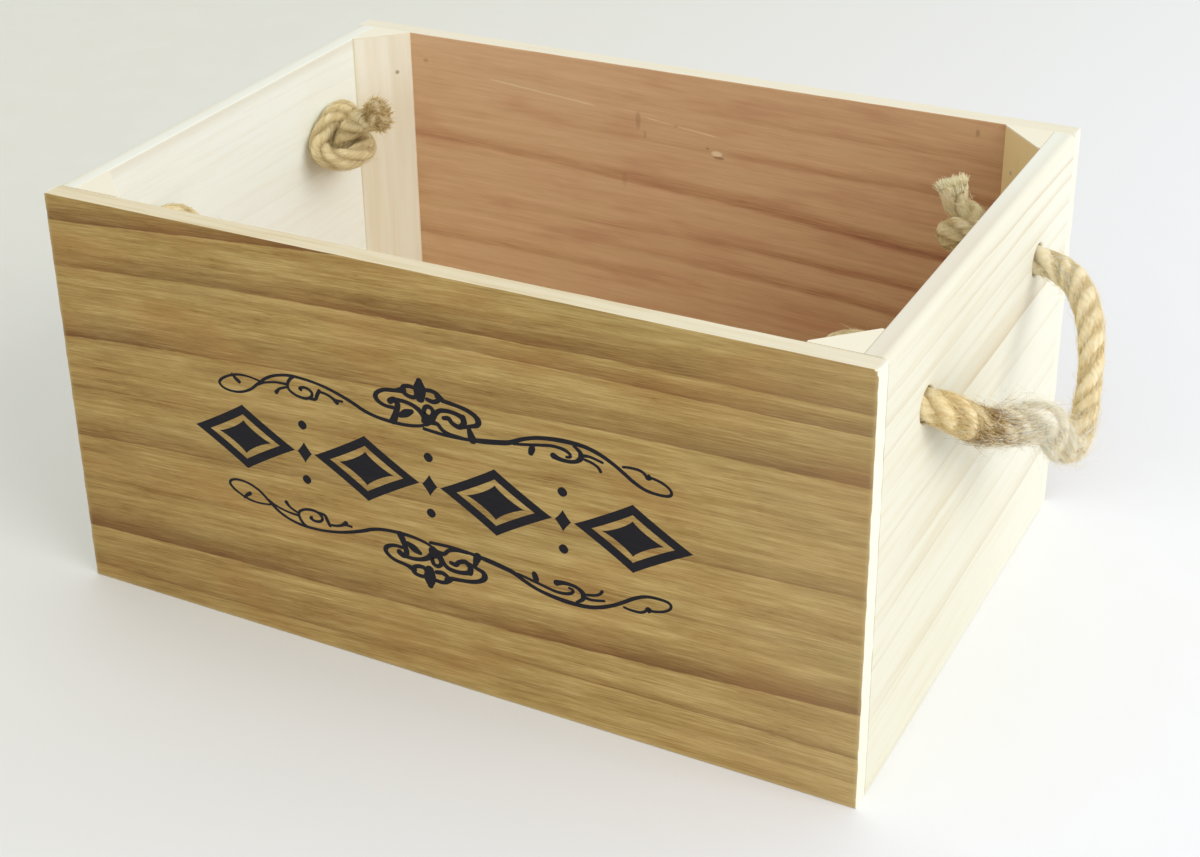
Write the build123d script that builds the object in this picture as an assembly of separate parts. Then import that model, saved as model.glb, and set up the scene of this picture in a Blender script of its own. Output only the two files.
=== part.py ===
from build123d import *
import math
import os

# Storage box: an open wooden crate with a rope handle at each end.
# All lengths are millimetres. X runs along the crate, -Y is its printed front and +Z is up.
# The origin is the middle of the footprint, on the surface that the crate stands on.

# Crate
crate_length = 350.0
crate_width = 240.0
crate_height = 180.0
panel_thickness = 9.0
eased_edge_radius = 0.6
end_rim_radius = 3.0
base_thickness = 5.0
base_recess = 2.0
corner_block_leg = 20.0
corner_block_blunt = 1.0

# Rope and the holes that it passes through
rope_diameter = 12.0
rope_hole_diameter = 14.0
rope_hole_inset = 43.5
rope_hole_drop = 38.5
rope_hole_easing = 0.5
rope_clearance = 0.3

# Route of one rope handle, from the rear hole to the front one, as the rope hangs at rest:
# distance out from the panel, distance from the middle of the panel, height over the holes
rope_route = [
    (6.3, 67.5, 0.0),
    (18.5, 58.0, -1.5),
    (31.0, 43.0, -8.0),
    (39.5, 24.5, -19.5),
    (42.0, 8.5, -39.5),
    (36.0, -8.0, -42.0),
    (30.0, -15.5, -25.0),
    (21.5, -33.5, -20.5),
    (14.6, -51.5, -11.5),
    (6.3, -67.5, 0.0),
]

# Overhand knot: the rope is squeezed thinner where it is pulled tight
knot_rope_diameter = 10.0
knot_wrap_corners = 6
knot_wrap_step = 72.0
knot_wrap_start = -54.0
knot_stand_share = 2.55
knot_return_share = 2.16
knot_wrap_radius_share = 1.05
knot_rise_shares = [0.0, 0.04, 0.20, 0.48, 0.82, 1.16]

# Each knot's turn about its hole in degrees, whether it is tied right- or left-handed,
# and the shares of the rope's diameter by which its tail runs on: inward and the two ways across
knot_turns = {
    ("left", "front"): 350.0,
    ("left", "rear"): 190.0,
    ("right", "front"): 75.0,
    ("right", "rear"): 42.0,
}
knot_hands = {
    ("left", "front"): 1,
    ("left", "rear"): 1,
    ("right", "front"): 1,
    ("right", "rear"): -1,
}
knot_tail_shares = {
    ("left", "front"): (1.10, 0.15, -0.95),
    ("left", "rear"): (1.95, 0.25, -1.00),
    ("right", "front"): (1.05, -0.90, -0.25),
    ("right", "rear"): (1.25, 0.70, -1.00),
}

# Brads
brad_diameter = 1.2
brad_head_diameter = 2.0
brad_head_height = 0.6
brad_length = 16.0
corner_brad_drop = 19.0
corner_brad_rise = 35.0
corner_brad_offset = 4.7

# Sizes that follow from those above
bend_share = 0.45
gap_samples_per_diameter = 10
inner_length = crate_length - 2 * panel_thickness
inner_width = crate_width - 2 * panel_thickness
base_top = base_recess + base_thickness
block_height = crate_height - base_top
rope_radius = rope_diameter / 2
rope_hole_spacing = inner_width - 2 * rope_hole_inset
rope_height = crate_height - rope_hole_drop
sides = {"left": -1, "right": 1}
ends = {"front": -1, "back": 1}
hole_places = {"front": -1, "rear": 1}


def corner_radii(points):
    """The largest tangent arcs that the runs on both sides of each corner leave room for."""
    radii = []
    for before, corner, after in zip(points, points[1:], points[2:]):
        run_in = Vector(*corner) - Vector(*before)
        run_out = Vector(*after) - Vector(*corner)
        half_turn = math.radians(run_in.get_angle(run_out)) / 2
        radii.append(bend_share * min(run_in.length, run_out.length) / math.tan(half_turn))
    return radii


def rope_tube(points, diameter):
    """A round tube along straight runs that tangent arcs join."""
    path = FilletPolyline(*points, radius=corner_radii(points))
    section = Plane(origin=path @ 0, z_dir=path % 0) * Circle(diameter / 2)
    return sweep(section, path=path), path


def rope_hole(side, place):
    """The bore for one end of a rope, with eased mouths, through an end panel."""
    inner_face = side * inner_length / 2
    middle = inner_face + side * panel_thickness / 2
    where = Pos(middle, place * rope_hole_spacing / 2, rope_height) * Rot(Y=90)
    bore = Cylinder(rope_hole_diameter / 2, panel_thickness)
    flare = Cone(
        rope_hole_diameter / 2 + rope_hole_easing,
        rope_hole_diameter / 2,
        rope_hole_easing,
        align=(Align.CENTER, Align.CENTER, Align.MIN),
    )
    outer = Pos(0, 0, -panel_thickness / 2) * flare
    inner = Pos(0, 0, panel_thickness / 2) * Rot(X=180) * flare
    return where * (bore + outer + inner)


def long_panel(face):
    """Front or back board, over the whole length, with its outer and top edges eased."""
    middle = face * (crate_width - panel_thickness) / 2
    panel = Pos(0, middle, 0) * Box(
        crate_length,
        panel_thickness,
        crate_height,
        align=(Align.CENTER, Align.CENTER, Align.MIN),
    )
    outer_face = panel.faces().sort_by(Axis.Y)[0 if face < 0 else -1]
    top_edges = panel.faces().sort_by(Axis.Z)[-1].edges().filter_by(Axis.X)
    inner_top = top_edges.sort_by(Axis.Y)[-1 if face < 0 else 0]
    return fillet([*outer_face.edges(), inner_top], eased_edge_radius)


def end_panel(side):
    """Left or right board between the long panels, rounded along the rim, with two rope holes."""
    middle = side * (crate_length - panel_thickness) / 2
    panel = Pos(middle, 0, 0) * Box(
        panel_thickness,
        inner_width,
        crate_height,
        align=(Align.CENTER, Align.CENTER, Align.MIN),
    )
    rim_edges = panel.faces().sort_by(Axis.Z)[-1].edges().filter_by(Axis.Y).sort_by(Axis.X)
    foot_edges = panel.faces().sort_by(Axis.Z)[0].edges().filter_by(Axis.Y).sort_by(Axis.X)
    outermost = 0 if side < 0 else -1
    innermost = -1 if side < 0 else 0
    panel = fillet([rim_edges[innermost], foot_edges[outermost]], eased_edge_radius)
    rim_edges = panel.faces().sort_by(Axis.Z)[-1].edges().filter_by(Axis.Y).sort_by(Axis.X)
    panel = fillet(rim_edges[outermost], end_rim_radius)
    for place in hole_places.values():
        panel -= rope_hole(side, place)
    return panel


def base_board():
    """Thin floor between the walls, raised a little off the surface."""
    return Pos(0, 0, base_recess) * Box(
        inner_length,
        inner_width,
        base_thickness,
        align=(Align.CENTER, Align.CENTER, Align.MIN),
    )


def corner_block(side, face):
    """Three-cornered glue block that stands on the base and ends flush with the rim."""
    blunt = corner_block_blunt
    outline = [
        (0, 0),
        (corner_block_leg, 0),
        (corner_block_leg, blunt),
        (blunt, corner_block_leg),
        (0, corner_block_leg),
    ]
    corner_x = side * inner_length / 2
    corner_y = face * inner_width / 2
    points = [(corner_x - side * a, corner_y - face * b) for a, b in outline]
    sketch = make_face(Polyline(*points, close=True))
    return Pos(0, 0, base_top) * extrude(sketch, block_height, dir=(0, 0, 1))


def brad(start, direction):
    """Headed wire brad whose head's outer face lies at start, driven along direction."""
    head = Cylinder(
        brad_head_diameter / 2,
        brad_head_height,
        align=(Align.CENTER, Align.CENTER, Align.MIN),
    )
    shank = Cylinder(
        brad_diameter / 2,
        brad_length,
        align=(Align.CENTER, Align.CENTER, Align.MIN),
    )
    return Plane(origin=start, z_dir=direction) * (head + shank)


def corner_brads():
    """Two brads square to the face of each corner block: one into each of the walls behind it."""
    brads = []
    face_reach = (corner_block_leg + corner_block_blunt) / 2
    upper = crate_height - corner_brad_drop
    lower = base_top + corner_brad_rise
    for side in sides.values():
        for face in ends.values():
            for height, shift in ((upper, corner_brad_offset), (lower, -corner_brad_offset)):
                start = (
                    side * (inner_length / 2 - face_reach - shift),
                    face * (inner_width / 2 - face_reach + shift),
                    height,
                )
                brads.append(brad(start, (side, face, 0)))
    return brads


def base_brads():
    """One brad up through the base into the foot of each corner block."""
    reach = corner_block_leg / 3
    brads = []
    for side in sides.values():
        for face in ends.values():
            start = (
                side * (inner_length / 2 - reach),
                face * (inner_width / 2 - reach),
                base_recess,
            )
            brads.append(brad(start, (0, 0, 1)))
    return brads


def knot_name(spot):
    """Node name of the knot at one hole, such as left_rear_knot."""
    side_name, end_name = spot
    return f"{side_name}_{end_name}_knot"


def knot_route(spot):
    """Corner points of an overhand knot: inward from the panel, then the two ways across it.

    The standing part comes straight out of the hole, bends over and returns to the panel, wraps
    once and a quarter round the standing part and leaves through the loop that it made.
    """
    size = knot_rope_diameter
    seat = size / 2 + rope_clearance
    wrap_radius = knot_wrap_radius_share * size / math.cos(math.radians(knot_wrap_step / 2))
    top = knot_stand_share * size
    out = knot_return_share * size
    points = [(0, 0, 0), (top, 0, 0), (top, out, 0), (seat, out, 0)]
    for corner, rise in zip(range(knot_wrap_corners), knot_rise_shares):
        angle = math.radians(knot_wrap_start - corner * knot_wrap_step)
        points.append(
            (
                seat + rise * size,
                wrap_radius * math.cos(angle),
                wrap_radius * math.sin(angle),
            )
        )
    last = points[-1]
    points.append(tuple(a + share * size for a, share in zip(last, knot_tail_shares[spot])))
    return [(inward, across, knot_hands[spot] * up) for inward, across, up in points]


def least_gap(points, diameter):
    """The smallest clear distance between strands of one route, away from its own bends."""
    path = FilletPolyline(*points, radius=corner_radii(points))
    count = int(path.length / diameter * gap_samples_per_diameter)
    samples = [path @ (i / count) for i in range(count + 1)]
    step = path.length / count
    apart = int(math.pi * diameter / 2 / step) + 1
    gaps = [
        (samples[i] - samples[j]).length - diameter
        for i in range(len(samples))
        for j in range(i + apart, len(samples))
    ]
    return min(gaps)


def knot(spot):
    """One overhand knot against the inner face of an end panel, with its rope in the hole."""
    side_name, end_name = spot
    side = sides[side_name]
    tube, path = rope_tube(knot_route(spot), knot_rope_diameter)
    shank = Rot(Y=90) * Cylinder(
        rope_radius,
        panel_thickness,
        align=(Align.CENTER, Align.CENTER, Align.MAX),
    )
    shape = Rot(X=knot_turns[spot]) * (tube + shank)
    inner_face = side * inner_length / 2
    where = Pos(inner_face, hole_places[end_name] * rope_hole_spacing / 2, rope_height)
    return where * (shape if side < 0 else Rot(Z=180) * shape)


def handle_route(side):
    """Corner points of the loop outside one end panel, stretched across to meet both holes."""
    face = crate_length / 2
    stretch = rope_hole_spacing / (rope_route[0][1] - rope_route[-1][1])
    return [
        (side * (face + out), stretch * across, rope_height + up) for out, across, up in rope_route
    ]


def rope_handle(side):
    """The loop outside one end panel, with a rounded end at each hole so that it can swing."""
    tube, path = rope_tube(handle_route(side), rope_diameter)
    for place, heading in ((path @ 0, path % 0), (path @ 1, -(path % 1))):
        dome = Sphere(
            rope_radius,
            arc_size1=0,
            align=(Align.CENTER, Align.CENTER, Align.MIN),
        )
        tube += Plane(origin=place, z_dir=-heading) * dome
    return tube


def report_rope():
    """Prints the bends, lengths and least gaps of the handle's and the knots' routes."""
    routes = [("handle", handle_route(sides["right"]), rope_diameter)]
    for spot in knot_turns:
        routes.append((knot_name(spot), knot_route(spot), knot_rope_diameter))
    for name, points, diameter in routes:
        radii = corner_radii(points)
        tube, path = rope_tube(points, diameter)
        exact = math.pi * diameter**2 / 4 * path.length
        print(name, "radii", [round(radius, 1) for radius in radii])
        print(name, "length", round(path.length, 1), "volume share", round(tube.volume / exact, 4))
        print(name, "least gap", round(least_gap(points, diameter), 2))


def write_parts():
    """Cuts each piece to its neighbours and writes one file for each node."""
    corner_set = corner_brads()
    base_set = base_brads()
    nodes = {
        "front_panel": long_panel(ends["front"]) - corner_set,
        "back_panel": long_panel(ends["back"]) - corner_set,
        "left_end_panel": end_panel(sides["left"]) - corner_set,
        "right_end_panel": end_panel(sides["right"]) - corner_set,
        "base_board": base_board() - base_set,
        "corner_block_brads": Compound(corner_set),
        "base_brads": Compound(base_set),
    }
    for side_name, side in sides.items():
        for face_name, face in ends.items():
            block = corner_block(side, face) - corner_set - base_set
            nodes[f"{face_name}_{side_name}_corner_block"] = block
        nodes[f"{side_name}_rope_handle"] = rope_handle(side)
    for spot in knot_turns:
        nodes[knot_name(spot)] = knot(spot)
    os.makedirs("parts", exist_ok=True)
    for name, shape in nodes.items():
        export_step(shape, f"parts/{name}.step")


report_rope()
write_parts()
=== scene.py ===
import math

import bpy
import numpy as np
from mathutils import Matrix, Vector, noise


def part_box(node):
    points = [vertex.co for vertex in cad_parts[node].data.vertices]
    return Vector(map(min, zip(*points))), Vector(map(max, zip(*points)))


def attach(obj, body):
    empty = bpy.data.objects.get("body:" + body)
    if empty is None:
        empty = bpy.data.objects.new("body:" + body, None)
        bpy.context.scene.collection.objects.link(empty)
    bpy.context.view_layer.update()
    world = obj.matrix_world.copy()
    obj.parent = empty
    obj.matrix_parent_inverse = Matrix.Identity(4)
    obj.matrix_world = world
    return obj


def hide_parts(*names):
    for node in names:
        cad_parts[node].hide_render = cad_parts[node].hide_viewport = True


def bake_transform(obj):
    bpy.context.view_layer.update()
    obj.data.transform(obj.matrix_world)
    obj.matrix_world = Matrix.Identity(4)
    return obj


# An open wooden crate with a rope handle at each end and a printed front.
# Metres. X runs along the crate, -Y is its printed front and +Z is up.

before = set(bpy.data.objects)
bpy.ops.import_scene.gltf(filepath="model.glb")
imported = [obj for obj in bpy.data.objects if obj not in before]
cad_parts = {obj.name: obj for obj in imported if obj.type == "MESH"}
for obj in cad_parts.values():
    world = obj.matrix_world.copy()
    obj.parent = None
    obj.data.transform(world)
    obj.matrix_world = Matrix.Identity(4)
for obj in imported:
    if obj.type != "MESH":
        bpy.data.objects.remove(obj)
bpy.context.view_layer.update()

mm = 0.001
mm_in_metre = 1000

# Sizes that the frame gives
front_low, front_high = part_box("front_panel")
half_length = (front_high.x - front_low.x) / 2
inner_half_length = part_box("right_end_panel")[0].x
sides = {"left": -1, "right": 1}

# The crate's ends, long faces and rim in millimetres, in which the finishes are written
end_mm = round(half_length / mm, 3)
side_mm = round(-front_low.y / mm, 3)
rim_mm = round(front_high.z / mm, 3)

# Sizes of the rope that the frame can't give
rope_diameter = 12 * mm
knot_rope_diameter = 10 * mm
rope_height = 141.5 * mm
rope_hole_reach = 67.5 * mm
rope_clearance = 0.3 * mm
hole_places = {"front": -1, "rear": 1}


# Nodes

class Value:
    """A shader socket. Sums and products of it add Math nodes."""

    def __init__(self, nodes, socket):
        self.nodes = nodes
        self.socket = socket

    def math(self, operation, *others):
        return self.nodes.math(operation, self, *others)

    def __add__(self, other):
        return self.math("ADD", other)

    def __sub__(self, other):
        return self.math("SUBTRACT", other)

    def __rsub__(self, other):
        return self.nodes.math("SUBTRACT", other, self)

    def __mul__(self, other):
        return self.math("MULTIPLY", other)

    def __truediv__(self, other):
        return self.math("DIVIDE", other)

    __radd__ = __add__
    __rmul__ = __mul__

    def clamped(self):
        return self.nodes.node("ShaderNodeClamp", {}, {"Value": self})

    def step(self, low, high):
        """0 below low, 1 above high, and the other way round where low is above high."""
        sockets = {"Value": self, "From Min": low, "From Max": high}
        return self.nodes.node("ShaderNodeMapRange", {"interpolation_type": "SMOOTHSTEP"}, sockets)

    def ramp(self, stops):
        """A number or a colour read off at stops of (place, number or colour)."""
        places = [(place, stop if isinstance(stop, tuple) else (stop,) * 3) for place, stop in stops]
        return self.nodes.node("ShaderNodeValToRGB", {"stops": places}, {"Fac": self})


class Nodes:
    """The nodes of a material or of the world, added one by one."""

    def __init__(self, owner, output):
        owner.use_nodes = True
        self.tree = owner.node_tree
        self.tree.nodes.clear()
        self.output = self.tree.nodes.new(output)

    def node(self, kind, settings, sockets, out=0):
        """One node: its settings first, then the values or links of its sockets."""
        made = self.tree.nodes.new(kind)
        for key, setting in settings.items():
            if key == "stops":
                self.set_stops(made.color_ramp, setting)
            else:
                setattr(made, key, setting)
        for key, given in sockets.items():
            if isinstance(given, Value):
                self.tree.links.new(given.socket, made.inputs[key])
            else:
                made.inputs[key].default_value = given
        return Value(self, made.outputs[out])

    def set_stops(self, ramp, stops):
        while len(ramp.elements) < len(stops):
            ramp.elements.new(1.0)
        for element, (place, colour) in zip(ramp.elements, stops):
            element.position = place
            element.color = (*colour, 1.0)

    def math(self, operation, *values):
        return self.node("ShaderNodeMath", {"operation": operation}, dict(enumerate(values)))

    def show(self, shader):
        self.tree.links.new(shader.socket, self.output.inputs["Surface"])


class Finish(Nodes):
    """A material whose nodes are added one by one."""

    def __init__(self, name):
        self.material = bpy.data.materials.new(name)
        super().__init__(self.material, "ShaderNodeOutputMaterial")

    def mix(self, factor, first, second):
        """Two colours mixed by a factor."""
        sockets = {0: factor, 6: opaque(first), 7: opaque(second)}
        return self.node("ShaderNodeMix", {"data_type": "RGBA"}, sockets, 2)

    def parts(self, vector):
        """The x, y and z of a vector."""
        return [self.node("ShaderNodeSeparateXYZ", {}, {0: vector}, axis) for axis in range(3)]

    def place(self):
        """The point's x, y and z on the piece, in millimetres."""
        point = self.node("ShaderNodeTexCoord", {}, {}, "Object")
        return [part * mm_in_metre for part in self.parts(point)]

    def attribute(self, name, out="Fac"):
        """What the mesh holds at its points under a name."""
        return self.node("ShaderNodeAttribute", {"attribute_name": name}, {}, out)

    def noise(self, x, y, z, detail=2.0, roughness=0.5):
        """Noise whose grain is one unit of x, y and z."""
        place = self.node("ShaderNodeCombineXYZ", {}, {0: x, 1: y, 2: z})
        sockets = {"Vector": place, "Scale": 1.0, "Detail": detail, "Roughness": roughness}
        return self.node("ShaderNodeTexNoise", {}, sockets)

    def bump(self, height, distance, strength):
        """The normal of a height between 0 and 1, where 1 stands this many metres high."""
        sockets = {"Height": height, "Distance": distance, "Strength": strength}
        return self.node("ShaderNodeBump", {}, sockets)

    def surface(self, colour, roughness, normal, specular, metallic=0.0):
        sockets = {
            "Base Color": opaque(colour),
            "Roughness": roughness,
            "Normal": normal,
            "Specular IOR Level": specular,
            "Metallic": metallic,
        }
        self.show(self.node("ShaderNodeBsdfPrincipled", {}, sockets))
        return self.material


def opaque(colour):
    return colour if isinstance(colour, Value) else (*colour, 1.0)


def srgb(red, green, blue):
    """A colour written as a screen shows it, from 0 to 255."""
    shares = [channel / 255 for channel in (red, green, blue)]
    return tuple(s / 12.92 if s <= 0.04045 else ((s + 0.055) / 1.055) ** 2.4 for s in shares)


def paint(obj, *materials):
    obj.data.materials.clear()
    for material in materials:
        obj.data.materials.append(material)


def linked(name, data):
    obj = bpy.data.objects.new(name, data)
    bpy.context.scene.collection.objects.link(obj)
    return obj


# Finishes

# How the dark of a growth line fades from its lower side, at 0, to the end of its reach
crisp_fade = [(0.0, 0.0), (0.04, 1.0), (0.11, 0.80), (0.34, 0.46), (0.65, 0.26), (1.0, 0.0)]
soft_fade = [(0.0, 0.0), (0.20, 0.85), (0.38, 0.82), (0.70, 0.40), (1.0, 0.0)]


def growth_lines(wood, along, z, lines, fade):
    """The dark of a board's growth lines.

    A place along the board runs from -1 to 1. A line is its height at mid length, its rise and its
    bow over half the board, how far its dark reaches up, and its strength at five places."""
    share = (along + 1) * 0.5
    dark = 0
    for height, rise, bow, reach, strengths in lines:
        above = (z - (height + (rise + bow * along) * along)) / reach
        shade = above.ramp(fade)
        strength = share.ramp([(number / 4, given) for number, given in enumerate(strengths)])
        dark = shade * strength + dark
    return dark


def scratch(x, z, start, end, width):
    """1 along a thin straight scratch between two places."""
    slope = (end[1] - start[1]) / (end[0] - start[0])
    line = (z - start[1] - (x - start[0]) * slope).math("ABSOLUTE").step(width, 0.0)
    return line * (x - start[0]).step(0.0, 8.0) * (end[0] - x).step(0.0, 8.0)


def spot(x, z, centre, reach):
    """1 about a centre, falling to 0 at a reach across and up."""
    across, up = (x - centre[0]) / reach[0], (z - centre[1]) / reach[1]
    return (across * across + up * up).step(1.0, 0.15)


# Growth lines: height, rise, bow and reach in millimetres, strengths from left to right
front_lines = [
    (9.0, 3.0, 0.0, 8.0, (0.45, 0.40, 0.15, 0.10, 0.10)),
    (20.5, 2.0, 0.0, 4.0, (0.00, 0.05, 0.15, 0.50, 0.60)),
    (32.5, 7.9, 0.9, 14.0, (1.00, 0.80, 0.45, 1.00, 0.95)),
    (57.0, 8.0, 0.0, 6.0, (0.10, 0.15, 0.20, 0.15, 0.25)),
    (82.0, 10.0, -2.0, 9.0, (0.65, 0.45, 0.25, 0.40, 0.50)),
    (104.0, 9.0, -2.0, 7.0, (0.20, 0.15, 0.20, 0.15, 0.20)),
    (129.0, 9.0, -3.7, 13.0, (0.95, 0.50, 0.30, 0.50, 1.00)),
    (152.0, 2.4, 0.0, 7.0, (0.00, 0.00, 0.25, 0.75, 0.60)),
    (158.5, 6.9, -2.9, 11.0, (0.45, 0.60, 0.90, 0.60, 0.50)),
    (182.4, 13.6, 0.0, 10.0, (0.90, 0.90, 0.80, 0.60, 0.50)),
]
rear_lines = [
    (14.0, -4.0, 0.0, 9.0, (0.30, 0.30, 0.50, 0.70, 0.60)),
    (41.0, -6.0, 1.5, 12.0, (0.60, 0.90, 0.80, 0.50, 0.90)),
    (66.0, -7.0, 2.0, 7.0, (0.30, 0.10, 0.20, 0.40, 0.20)),
    (91.0, -9.0, 2.5, 12.0, (0.90, 0.60, 0.30, 0.60, 0.80)),
    (118.0, -8.0, 2.0, 6.0, (0.10, 0.30, 0.50, 0.20, 0.10)),
    (139.0, -8.0, 3.0, 11.0, (0.80, 0.50, 0.90, 0.60, 0.30)),
    (166.0, -6.0, 1.0, 9.0, (0.50, 0.80, 0.40, 0.60, 0.90)),
]
inside_lines = [
    (52.0, -4.0, -2.0, 8.0, (0.40, 0.30, 0.30, 0.40, 0.50)),
    (74.0, -4.0, -2.0, 7.0, (0.75, 0.50, 0.25, 0.35, 0.60)),
    (86.0, -8.0, -3.0, 7.0, (0.20, 0.20, 0.35, 0.70, 0.80)),
    (98.0, -1.5, -6.0, 7.0, (0.30, 0.20, 0.45, 0.70, 0.70)),
    (120.7, -10.8, -4.5, 9.0, (0.60, 0.65, 0.70, 1.00, 0.90)),
    (144.0, -4.0, 0.0, 6.0, (0.05, 0.15, 0.20, 0.55, 0.60)),
    (162.0, -3.0, 0.0, 5.0, (0.10, 0.25, 0.15, 0.40, 0.40)),
]
end_lines = [
    (33.0, 1.0, 0.0, 9.0, (0.20, 0.45, 0.50, 0.50, 0.50)),
    (55.0, 0.0, 0.0, 3.0, (0.40, 0.35, 0.20, 0.25, 0.30)),
    (72.5, 1.0, 0.0, 8.0, (0.10, 0.60, 0.35, 0.20, 0.25)),
    (83.0, -1.0, 0.0, 14.0, (0.05, 0.45, 0.30, 0.10, 0.10)),
    (104.0, 0.0, 0.0, 3.0, (0.35, 0.60, 0.45, 0.40, 0.30)),
    (124.0, -1.0, 0.0, 14.0, (0.10, 0.30, 0.90, 0.80, 0.35)),
    (141.0, -1.0, 0.0, 3.0, (0.45, 0.30, 0.35, 0.40, 0.40)),
    (152.0, -2.0, 0.0, 5.0, (0.60, 0.40, 0.30, 0.45, 0.40)),
    (162.5, -1.5, 0.0, 3.5, (0.25, 0.40, 0.50, 0.70, 0.60)),
    (172.3, -3.5, 0.0, 3.0, (0.10, 0.35, 0.75, 0.90, 0.80)),
]


# Marks on the inner faces of the long boards, in millimetres: two pale scratches with start, end and width,
# a pale knock with centre and reach, and brown marks with centre, reach across and up, and strength
inside_scratches = [((-106, 163), (-44, 158), 0.7), ((-26, 157), (19, 152), 0.6)]
inside_knock = ((14.5, 144.5), (3.4, 1.7))
inside_marks = [
    ((-25.0, 154.5), (1.6, 5.5), 0.26),
    ((-21.5, 148.0), (1.0, 2.6), 0.22),
    ((15.5, 142.6), (3.4, 0.9), 0.55),
    ((10.0, 146.3), (1.1, 0.7), 0.45),
    ((-138.0, 167.0), (1.8, 1.3), 0.30),
    ((134.0, 174.0), (1.2, 2.2), 0.35),
    ((-32.0, 124.0), (1.8, 4.5), 0.16),
    ((-6.0, 154.5), (1.3, 0.8), 0.25),
]


def stained_outside(name, lines, rise, seed):
    """Golden brown stain over dark growth lines, with short dark fibres and a narrow paler margin at the ends
    and the bottom edge.
    """
    wood = Finish(name)
    x, y, z = wood.place()
    along = x / end_mm
    run = z - (rise - 2.0 * along) * along
    waved = z + 3.0 * (wood.noise(x / 110, seed, z / 40, detail=1.0) - 0.5)
    waved = waved + 1.1 * (wood.noise(x / 9, seed + 3, z / 3, detail=2.0) - 0.5)
    fine = wood.noise(x / 16, seed + 1, run / 0.65, detail=4.0, roughness=0.7)
    broad = wood.noise(x / 110, seed + 5, run / 2.8, detail=3.0, roughness=0.6)
    patches = wood.noise(x / 42, seed + 2, run / 9, detail=2.0)
    dashes = wood.noise(x / 6, seed + 9, run / 0.42, detail=2.0).step(0.56, 0.70)
    lines = growth_lines(wood, along, waved, lines, crisp_fade)
    dark = 0.28 + lines * (0.08 + 0.60 * fine) + 0.70 * (broad - 0.5) + 0.95 * (fine - 0.5)
    dark = dark + 0.45 * (patches - 0.5) + dashes * patches.step(0.40, 0.70) * 0.24
    # Painted light: the stain lightens towards the right end and lower down, where the daylight from the
    # right falls
    dark = dark - 0.06 * along * (1.7 - z / 115)
    colour = dark.clamped().ramp([
        (0.00, srgb(203, 174, 112)),
        (0.30, srgb(171, 141, 81)),
        (0.55, srgb(146, 113, 58)),
        (0.80, srgb(120, 86, 44)),
        (1.00, srgb(97, 66, 33)),
    ])
    colour = wood.mix((lines * (0.55 + 0.75 * fine)).clamped() * 0.88, colour, srgb(114, 75, 40))
    hue = wood.noise(x / 55, seed + 12, z / 24, detail=2.0)
    colour = wood.mix(hue.step(0.45, 0.75) * 0.30, colour, srgb(166, 114, 58))
    colour = wood.mix(hue.step(0.50, 0.25) * 0.20, colour, srgb(156, 138, 84))
    # Painted light: paler towards the right end, nearest the window
    colour = wood.mix(along.step(0.50, 1.05) * 0.20, colour, srgb(192, 168, 126))
    # A narrow paler margin, in patches, within about 2 millimetres of the ends and the bottom edge
    worn = (end_mm - x.math("ABSOLUTE")).math("MINIMUM", z).step(2.2, 0.2) * fine.step(0.34, 0.58)
    colour = wood.mix(worn * 0.45, colour, srgb(208, 188, 142))
    height = 0.55 * fine + 0.45 * broad - 0.30 * dashes
    normal = wood.bump(height, 0.22 * mm, 0.5)
    return wood.surface(colour, 0.58 + 0.14 * fine, normal, 0.25)


def stained_inside():
    """Reddish brown stain with growth lines that sink to the right, two scratches and a knock."""
    wood = Finish("stained_inside")
    x, y, z = wood.place()
    along = x / end_mm
    run = z + (5.0 + 3.0 * along) * along
    waved = z + 4.0 * (wood.noise(x / 80, 4.0, z / 30, detail=1.0) - 0.5)
    waved = waved + 1.0 * (wood.noise(x / 9, 8.0, z / 3, detail=2.0) - 0.5)
    fine = wood.noise(x / 20, 1.0, run / 0.7, detail=4.0, roughness=0.65)
    broad = wood.noise(x / 100, 5.0, run / 3.0, detail=3.0, roughness=0.55)
    patches = wood.noise(x / 40, 2.0, run / 11, detail=2.0)
    lines = growth_lines(wood, along, waved, inside_lines, soft_fade)
    dark = 0.27 + lines * (0.15 + 0.55 * fine) + 0.40 * (broad - 0.5) + 0.42 * (fine - 0.5)
    dark = dark + 0.30 * (patches - 0.5) + 0.13 * along - 0.0008 * (z - 110)
    colour = dark.clamped().ramp([
        (0.00, srgb(226, 188, 147)),
        (0.25, srgb(210, 168, 126)),
        (0.50, srgb(189, 143, 101)),
        (0.75, srgb(160, 108, 76)),
        (1.00, srgb(132, 82, 58)),
    ])
    colour = wood.mix(patches.step(0.50, 0.80) * 0.35, colour, srgb(196, 138, 108))
    colour = wood.mix(patches.step(0.50, 0.25) * 0.25, colour, srgb(196, 164, 112))
    long_scratch, short_scratch = [scratch(x, z, *given) for given in inside_scratches]
    scratches = long_scratch + short_scratch
    knock = spot(x, z, *inside_knock)
    colour = wood.mix((scratches * fine.step(0.3, 0.6)).clamped() * 0.75, colour, srgb(240, 212, 172))
    colour = wood.mix(knock * 0.8, colour, srgb(240, 216, 180))
    for centre, reach, strength in inside_marks:
        colour = wood.mix(spot(x, z, centre, reach) * strength, colour, srgb(122, 74, 46))
    height = 0.55 * fine + 0.45 * broad - 0.6 * scratches - 0.8 * knock
    normal = wood.bump(height, 0.2 * mm, 0.45)
    return wood.surface(colour, 0.60 + 0.12 * fine, normal, 0.25)


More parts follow.
